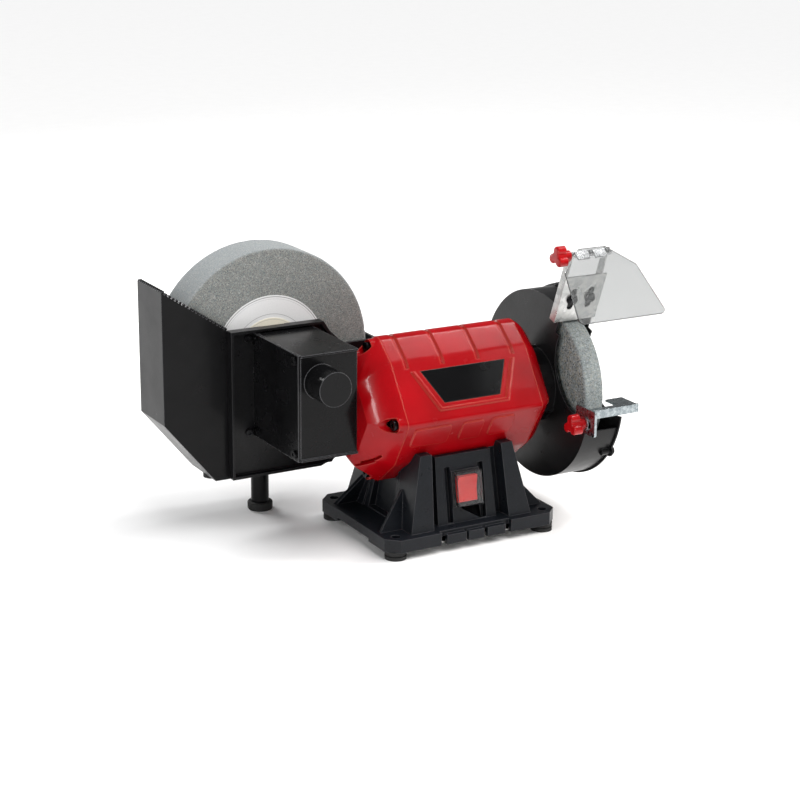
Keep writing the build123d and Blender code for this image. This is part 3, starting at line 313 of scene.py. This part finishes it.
def stone(name, centre, axis, radius, grains, dark, mid, pale, warm, rim_tone):
    """Bonded abrasive grit: packed grains of several greys, pores, and a paler rim from wear."""
    s = Shader(name)
    tint, sheen, height = s.cell_numbers(grains)
    glint = scaled(pale, 1.5)
    tones = s.ramp(tint, [(0.0, dark), (0.2, mid), (0.6, pale), (0.86, warm), (1.0, glint)])
    clumps = s.noise(grains * 0.16, 5.0, 0.7)
    blended = s.mix(s.span(clumps, 0.35, 0.7, 0.05, 0.45), tones, mid)
    holes = s.cells(grains * 0.7, place=s.moved((0.013, 0.007, 0.021)))
    pitted = s.mix(0.85, blended, s.ramp(holes, [(0.10, 0.25), (0.26, 1.0)]), "MULTIPLY")
    rim = s.span(s.radius(centre, axis), radius - 2.2 * MM, radius - 0.6 * MM, 0.0, 0.7)
    s.set(Base_Color=s.mix(rim, pitted, s.mix(0.5, pitted, rim_tone)))
    s.set(Roughness=s.span(sheen, 0.0, 1.0, 0.72, 0.95), Specular_IOR_Level=0.3)
    grit = s.bump(height, 0.5, 0.3 * MM)
    s.set(Normal=s.bump(s.noise(grains * 0.5, 4.0, 0.7), 0.6, 0.5 * MM, grit))
    return s.material


def paper(name, centre, colour, rings):
    """Matt card on the wet wheel, printed with rings of (radius, half width, darkness)."""
    s = Shader(name)
    fibre = s.noise(700.0, 5.0, 0.65)
    shade = s.ramp(fibre, [(0.3, scaled(colour, 0.93)), (0.7, colour)])
    radius = s.radius(centre, Y)
    for at, half, dark in rings:
        distance = s.maths("ABSOLUTE", s.maths("SUBTRACT", radius, at))
        line = s.span(distance, half, half * 1.5, dark, 0.0)
        shade = s.mix(line, shade, RING_INK)
    s.set(Base_Color=shade, Roughness=s.span(fibre, 0.3, 0.7, 0.62, 0.8))
    s.set(Normal=s.bump(fibre, 0.15, 0.1 * MM))
    return s.material


def spangled_zinc(name, crystals, dark, mid, pale, rough, contrast):
    """Plated sheet: crystals of slightly different greys and sheen, and fine scratches."""
    s = Shader(name)
    tint, sheen, height = s.cell_numbers(crystals)
    s.set(Base_Color=s.ramp(tint, [(0.0, dark), (0.5, mid), (1.0, pale)]))
    s.set(Roughness=s.span(sheen, 0.0, 1.0, rough, rough + contrast), Metallic=1.0)
    marks = s.noise(60.0, 6.0, 0.7, place=s.moved(scale=(1.0, 14.0, 3.0)))
    scratch = s.bump(marks, 0.12, 0.2 * MM, s.rounded(0.5 * MM))
    s.set(Normal=s.bump(height, contrast * 0.5, 0.1 * MM, scratch))
    return s.material


def turned(name, colour, rough, centre, axis, rings_per_metre):
    """Turned and plated steel with fine rings about its own axis."""
    s = Shader(name)
    angle = s.maths("MULTIPLY", s.radius(centre, axis), 2 * math.pi * rings_per_metre)
    stain = s.noise(120.0, 5.0, 0.6)
    s.set(Base_Color=s.ramp(stain, [(0.3, scaled(colour, 0.8)), (0.7, colour)]))
    s.set(Roughness=s.span(stain, 0.3, 0.7, rough, rough + 0.14), Metallic=1.0)
    s.set(Normal=s.bump(s.maths("SINE", angle), 0.12, 0.05 * MM))
    return s.material


def metal(name, colour, rough, streak=(1.0, 1.0, 1.0)):
    """Plain plated or ground metal with fine streaks and a little tarnish."""
    s = Shader(name)
    tarnish = s.noise(150.0, 5.0, 0.62)
    place = s.moved(scale=streak)
    s.set(Base_Color=s.ramp(tarnish, [(0.28, scaled(colour, 0.72)), (0.7, colour)]))
    s.set(Roughness=s.span(s.noise(400.0, 4.0, place=place), 0.3, 0.7, rough, rough + 0.15))
    s.set(Metallic=1.0, Normal=s.bump(s.noise(900.0, 3.0, place=place), 0.1, 0.1 * MM))
    return s.material


def rubber():
    """Matt black rubber with a dusty bloom."""
    s = Shader("rubber")
    bloom = s.noise(70.0, 5.0, 0.65)
    s.set(Base_Color=s.ramp(bloom, [(0.3, 0.012), (0.8, 0.034)]))
    s.set(Roughness=s.span(bloom, 0.3, 0.7, 0.62, 0.8), Specular_IOR_Level=0.3)
    s.set(Normal=s.bump(s.noise(600.0, 3.0), 0.2, 0.2 * MM))
    return s.material


def gloss_red(name, low, high):
    """Glossy red moulding, slightly translucent towards its surface."""
    s = Shader(name)
    cloud = s.noise(90.0, 3.0)
    s.set(Base_Color=s.ramp(cloud, [(0.3, low), (0.7, high)]))
    s.set(Roughness=s.span(s.noise(200.0, 4.0), 0.3, 0.7, 0.16, 0.26))
    s.set(Coat_Weight=0.35, Coat_Roughness=0.08, Specular_IOR_Level=0.2)
    s.set(Subsurface_Weight=0.08, Subsurface_Radius=(3.0 * MM, 0.6 * MM, 0.4 * MM))
    s.set(Normal=s.bump(s.noise(260.0, 2.0), 0.06, 0.3 * MM))
    return s.material


def pane():
    """Clear acrylic with a grey cast and faint scuffs."""
    s = Shader("clear_pane")
    scuff = s.noise(900.0, 6.0, 0.75, place=s.moved(scale=(0.15, 1.0, 1.0)))
    s.set(Base_Color=s.ramp(scuff, [(0.35, (0.44, 0.45, 0.45)), (0.75, (0.49, 0.50, 0.50))]))
    s.set(Roughness=s.span(scuff, 0.45, 0.8, 0.02, 0.12), IOR=1.45, Transmission_Weight=0.93)
    s.set(Normal=s.bump(s.noise(30.0, 2.0), 0.04, 0.8 * MM))
    return s.material


def clear_cover():
    """Soft clear vinyl over the switch."""
    s = Shader("clear_cover")
    ripple = s.noise(130.0, 3.0)
    s.set(Base_Color=s.ramp(ripple, [(0.3, (0.86, 0.87, 0.88)), (0.7, (0.95, 0.95, 0.96))]))
    s.set(Roughness=s.span(ripple, 0.3, 0.7, 0.05, 0.14), IOR=1.25, Transmission_Weight=0.98)
    s.set(Normal=s.bump(ripple, 0.15, 0.6 * MM))
    return s.material


def copper():
    """Varnished winding wire laid round the stator."""
    s = Shader("winding")
    strands = s.noise(700.0, 3.0, place=s.moved(scale=(0.3, 1.0, 1.0)))
    s.set(Base_Color=s.ramp(strands, [(0.3, (0.28, 0.09, 0.03)), (0.7, (0.62, 0.27, 0.12))]))
    s.set(Metallic=0.8, Roughness=s.span(strands, 0.3, 0.7, 0.25, 0.45))
    s.set(Normal=s.bump(strands, 0.5, 0.6 * MM))
    return s.material


def studio_floor():
    """Seamless white studio card."""
    s = Shader("studio_floor")
    tooth = s.noise(30.0, 6.0, 0.6)
    s.set(Base_Color=s.ramp(tooth, [(0.3, 0.925), (0.7, 0.945)]))
    s.set(Roughness=0.75, Specular_IOR_Level=0.25, Normal=s.bump(tooth, 0.02, 0.5 * MM))
    return s.material


# One material for each slot of the CAD record.
MATERIALS = {
    "base_paint": powder_coat("base_paint", (0.0040, 0.0048, 0.0062), (0.0075, 0.0088, 0.0115),
                              rough=0.32, grain=1100.0, relief=0.6),
    "motor_paint": enamel(),
    "guard_paint": powder_coat("guard_paint", (0.0035, 0.0035, 0.004), (0.006, 0.006, 0.0065),
                               rough=0.32, grain=700.0, relief=0.12, edge=0.6 * MM),
    "black_plastic": moulded("black_plastic", DARK_PLASTIC, (0.0055, 0.0055, 0.006), rough=0.32),
    "gear_case": moulded("gear_case", DARK_PLASTIC, (0.006, 0.006, 0.0065),
                         rough=0.24, edge=1.6 * MM),
    "name_plate": moulded("name_plate", DARK_PLASTIC, (0.005, 0.005, 0.0055),
                          rough=0.22, grain=1500.0, relief=0.05, specular=0.12),
    "zinc_steel": spangled_zinc("zinc_sheet", crystals=260.0, dark=(0.40, 0.41, 0.405),
                                mid=(0.50, 0.505, 0.50), pale=(0.60, 0.60, 0.585),
                                rough=0.26, contrast=0.14),
    "rest_steel": spangled_zinc("rest_steel", crystals=420.0, dark=(0.24, 0.28, 0.30),
                                mid=(0.33, 0.37, 0.39), pale=(0.45, 0.50, 0.52),
                                rough=0.22, contrast=0.18),
    "bright_steel": metal("bright_steel", (0.66, 0.66, 0.67), rough=0.20),
    "black_screws": metal("black_screws", (0.030, 0.030, 0.032), rough=0.30),
    "shaft_steel": turned("shaft_steel", (0.52, 0.52, 0.54), rough=0.2, axis=X,
                          centre=joint_place("motor_spin"), rings_per_metre=1800.0),
    "core_steel": metal("core_steel", (0.30, 0.30, 0.32), rough=0.4, streak=(12.0, 0.4, 0.4)),
    "rotor_cage": metal("rotor_cage", (0.70, 0.71, 0.73), rough=0.35),
    "winding": copper(),
    "bronze": metal("bronze", (0.58, 0.40, 0.18), rough=0.3),
    "wet_stone": stone("wet_stone", WET_CENTRE, Y, WET_RADIUS, grains=1600.0,
                       dark=(0.08, 0.10, 0.105), mid=(0.17, 0.175, 0.172),
                       pale=(0.31, 0.305, 0.28), warm=(0.14, 0.19, 0.205),
                       rim_tone=(0.44, 0.475, 0.50)),
    "dry_stone": stone("dry_stone", DRY_CENTRE, X, DRY_RADIUS, grains=850.0,
                       dark=(0.035, 0.045, 0.048), mid=(0.13, 0.15, 0.155),
                       pale=(0.31, 0.345, 0.345), warm=(0.29, 0.265, 0.20),
                       rim_tone=(0.36, 0.40, 0.41)),
    "label_paper": paper("label_paper", WET_CENTRE, (0.74, 0.745, 0.75), rings=[
        (54.5 * MM, 0.25 * MM, 0.7), (38.5 * MM, 0.2 * MM, 0.5), (52.5 * MM, 0.1 * MM, 0.4)]),
    "blotter_paper": paper("blotter_paper", WET_CENTRE, (0.80, 0.76, 0.64), rings=[
        (33.5 * MM, 0.2 * MM, 0.3)]),
    "rubber": rubber(),
    "red_plastic": gloss_red("red_plastic", (0.34, 0.003, 0.005), (0.47, 0.006, 0.009)),
    "rocker_red": gloss_red("rocker_red", (0.72, 0.012, 0.008), (0.88, 0.030, 0.018)),
    "clear_cover": clear_cover(),
    "clear_pane": pane(),
    "capacitor": moulded("capacitor", (0.5, 0.5, 0.48), (0.6, 0.6, 0.58), rough=0.45),
}


# Finish on the CAD nodes ----------------------------------------------------
# The width in mm of the bevel on the edges of each node that is softened.
ROUNDED = {
    "base_casting": 0.9, "motor_housing": 0.7, "left_end_cap": 0.9, "right_end_cap": 0.9,
    "gearbox_housing": 0.9, "gearbox_cover": 0.6, "water_tank": 0.5, "tank_bracket": 0.5,
    "guard_housing": 0.35, "guard_cover": 0.4, "shield_bracket": 0.3, "tool_rest": 0.35,
    "switch_housing": 0.6, "switch_rocker": 0.7, "shield_knob": 0.6, "rest_knob": 0.6,
    "eye_shield": 0.3, "support_post": 0.5, "wet_wheel_nut": 0.5, "dry_wheel_nut": 0.5,
    "wet_wheel_flanges": 0.4, "dry_wheel_flanges": 0.4, "cable_gland": 0.5, "name_plate": 0.2,
    "tie_screws": 0.3, "gearbox_screws": 0.25, "bracket_screws": 0.25, "hinge_bolt": 0.3,
    "tank_screws": 0.25, "guard_screws": 0.25, "hinge_sleeves": 0.2, "rest_bolt": 0.3,
}


def soften(obj, width):
    """Rounds an object's sharp edges a little, so that they catch the light."""
    weld = obj.modifiers.new("weld", "WELD")
    weld.merge_threshold = 0.002 * MM
    flats = obj.modifiers.new("flats", "DECIMATE")
    flats.decimate_type = "DISSOLVE"
    flats.angle_limit = math.radians(0.5)
    bevel = obj.modifiers.new("edges", "BEVEL")
    bevel.width = width
    bevel.segments = 2
    bevel.limit_method = "ANGLE"
    bevel.angle_limit = math.radians(34)
    bevel.use_clamp_overlap = True
    bevel.miter_outer = "MITER_ARC"
    normals = obj.modifiers.new("normals", "WEIGHTED_NORMAL")
    normals.keep_sharp = False
    normals.weight = 60


def finish_cad_nodes():
    """Gives each CAD node its material and its rounded edges."""
    for part in frame["record"]["subparts"]:
        obj = NODES[part["node"]]
        obj.data.materials.clear()
        obj.data.materials.append(MATERIALS[part["material_slot"]])
        if part["node"] in ROUNDED:
            soften(obj, ROUNDED[part["node"]] * MM)


# New pieces -----------------------------------------------------------------
def new_object(name, data):
    """A new object in the scene, holding a mesh, lamp or camera."""
    obj = bpy.data.objects.new(name, data)
    bpy.context.scene.collection.objects.link(obj)
    return obj


def piece(name, mesh, body, slot):
    """Adds a mesh to the scene as a piece of the object."""
    obj = new_object(name, mesh)
    mesh.materials.append(MATERIALS[slot])
    for face in mesh.polygons:
        face.use_smooth = True
    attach(obj, body)
    return obj


def lathe(profile, steps, about):
    """A ring made by turning a closed profile of (along, radius) points about +Z, then placed."""
    mesh = bmesh.new()
    rows = []
    for step in range(steps):
        angle = 2 * math.pi * step / steps
        across, up = math.cos(angle), math.sin(angle)
        rows.append([mesh.verts.new((radius * across, radius * up, along))
                     for along, radius in profile])
    for step in range(steps):
        here, after = rows[step], rows[(step + 1) % steps]
        for k in range(len(profile)):
            n = (k + 1) % len(profile)
            mesh.faces.new((here[k], after[k], after[n], here[n]))
    bmesh.ops.recalc_face_normals(mesh, faces=mesh.faces)
    mesh.transform(about)
    return mesh


FACE_ROWS, RIM_ROWS = 40, 14           # rows of points over a wheel's side and its rim
WHEEL_CHAMFER = 1.1 * MM
SKIN_DEPTH = 0.10 * MM                 # roughness all over a wheel
CHIP_DEPTH = 0.9 * MM                  # deeper chips near its corners
CHIP_ZONE = 1.6 * MM                   # how far the chips reach from a corner
BORE_RIM = 1.0 * MM                    # stays smooth round the bore
SKIN_SCALE, CHIP_SCALE = 900.0, 260.0  # features per metre
CHIP_FLOOR = 0.25                      # noise below this leaves no chip


def wheel_profile(half, bore, outer):
    """Half a wheel's section as (along, radius) points, with two-step rounded corners."""
    shoulder = outer - WHEEL_CHAMFER
    edge = half - WHEEL_CHAMFER
    side = [(half, bore + (shoulder - bore) * k / FACE_ROWS) for k in range(FACE_ROWS)]
    corner = [(half, shoulder), (half - WHEEL_CHAMFER * 0.4, outer - WHEEL_CHAMFER * 0.25),
              (edge, outer)]
    rim = [(edge - 2 * edge * k / RIM_ROWS, outer) for k in range(1, RIM_ROWS)]
    other_side = [(-along, radius) for along, radius in reversed(side + corner)]
    return side + corner + rim + other_side


def grit_wheel(name, node, body, slot, axis, bore, steps):
    """A grinding wheel with a dense, slightly chipped and uneven skin inside its CAD shape."""
    low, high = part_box(node)
    centre = (low + high) / 2
    half = (high[axis] - low[axis]) / 2
    outer = radius_of(node)
    turn = Matrix.Rotation(math.radians(90), 4, "Y" if axis == X else "X")
    mesh = lathe(wheel_profile(half, bore, outer), steps, Matrix.Translation(centre) @ turn)
    for vert in mesh.verts:
        skin = (noise.noise(vert.co * SKIN_SCALE) + 1.0) * 0.5
        chip = max(0.0, noise.noise(vert.co * CHIP_SCALE) - CHIP_FLOOR)
        outward = vert.co - centre
        along = abs(outward[axis])
        outward[axis] = 0.0
        radial = outward.length
        inward = SKIN_DEPTH * skin
        if radial > outer - CHIP_ZONE and along > half - CHIP_ZONE:
            inward += CHIP_DEPTH * chip
        if radial > bore + BORE_RIM:
            vert.co -= outward.normalized() * inward
    data = bpy.data.meshes.new(name)
    mesh.to_mesh(data)
    mesh.free()
    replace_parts(piece(name, data, body, slot), node)


def make_wheels():
    """The two grinding wheels, whose bores are a sliding fit on their shafts."""
    grit_wheel("wet_wheel_stone", "wet_wheel", "wet", "wet_stone", Y, bore=10.05 * MM, steps=420)
    grit_wheel("dry_wheel_stone", "dry_wheel", "rotor", "dry_stone", X, bore=6.45 * MM, steps=360)


# Studio ---------------------------------------------------------------------
def make_floor():
    """A floor large enough for its edge to stay out of the photograph's view."""
    half = 20.0
    corners = [(-half, -half, 0), (half, -half, 0), (half, half, 0), (-half, half, 0)]
    mesh = bpy.data.meshes.new("floor")
    mesh.from_pydata(corners, [], [(0, 1, 2, 3)])
    mesh.materials.append(studio_floor())
    new_object("floor", mesh)


def facing(direction):
    """The rotation of a lamp that shines in a direction."""
    return Vector(direction).to_track_quat("-Z", "Y").to_euler()


def softbox(name, place, width, height, power, colour=(1.0, 1.0, 1.0)):
    """A rectangular lamp aimed at the middle of the machine."""
    lamp = bpy.data.lights.new(name, "AREA")
    lamp.shape = "RECTANGLE"
    lamp.size = width
    lamp.size_y = height
    lamp.energy = power
    lamp.color = colour
    obj = new_object(name, lamp)
    obj.location = place
    obj.rotation_euler = facing((CAD_LOW + CAD_HIGH) / 2 - Vector(place))


def make_light():
    """A dim white surround, one broad soft key and four soft boxes for the glints."""
    world = bpy.data.worlds.new("studio")
    world.use_nodes = True
    backdrop = world.node_tree.nodes["Background"]
    backdrop.inputs["Color"].default_value = rgba(1.0)
    backdrop.inputs["Strength"].default_value = 0.22
    bpy.context.scene.world = world
    key = bpy.data.lights.new("key", "SUN")
    key.energy = 2.9
    key.angle = math.radians(60)
    lamp = new_object("key", key)
    lamp.rotation_euler = facing((-0.28, 0.42, -1.0))
    lamp.visible_glossy = False
    softbox("left_front", (-1.5, -0.8, 0.9), 0.10, 1.1, power=9.0)
    softbox("right", (1.5, -0.6, 0.9), 0.14, 1.0, power=15.0, colour=(1.0, 0.93, 0.86))
    softbox("upper_right", (0.8, -0.05, 1.4), 0.10, 0.9, power=6.0)
    softbox("back_left", (-0.5, 1.6, 1.0), 0.9, 0.16, power=14.0)


def make_camera():
    """A long lens to the left of the machine's front and a little above it."""
    place = (-0.89687, -1.49551, 0.64659)
    to_the_right, downward, roll = 0.51967, 0.29310, 0.00971      # radians
    lens = bpy.data.cameras.new("camera")
    lens.sensor_width = 36.0
    lens.lens = 88.92
    lens.clip_end = 60.0
    camera = new_object("camera", lens)
    camera.location = place
    turn = Euler((math.pi / 2 - downward, 0.0, -to_the_right), "XYZ").to_matrix().to_4x4()
    camera.rotation_euler = (turn @ Matrix.Rotation(roll, 4, "Z")).to_euler()
    bpy.context.scene.camera = camera


finish_cad_nodes()
make_wheels()
make_floor()
make_light()
make_camera()
bpy.context.scene.view_settings.view_transform = "Standard"
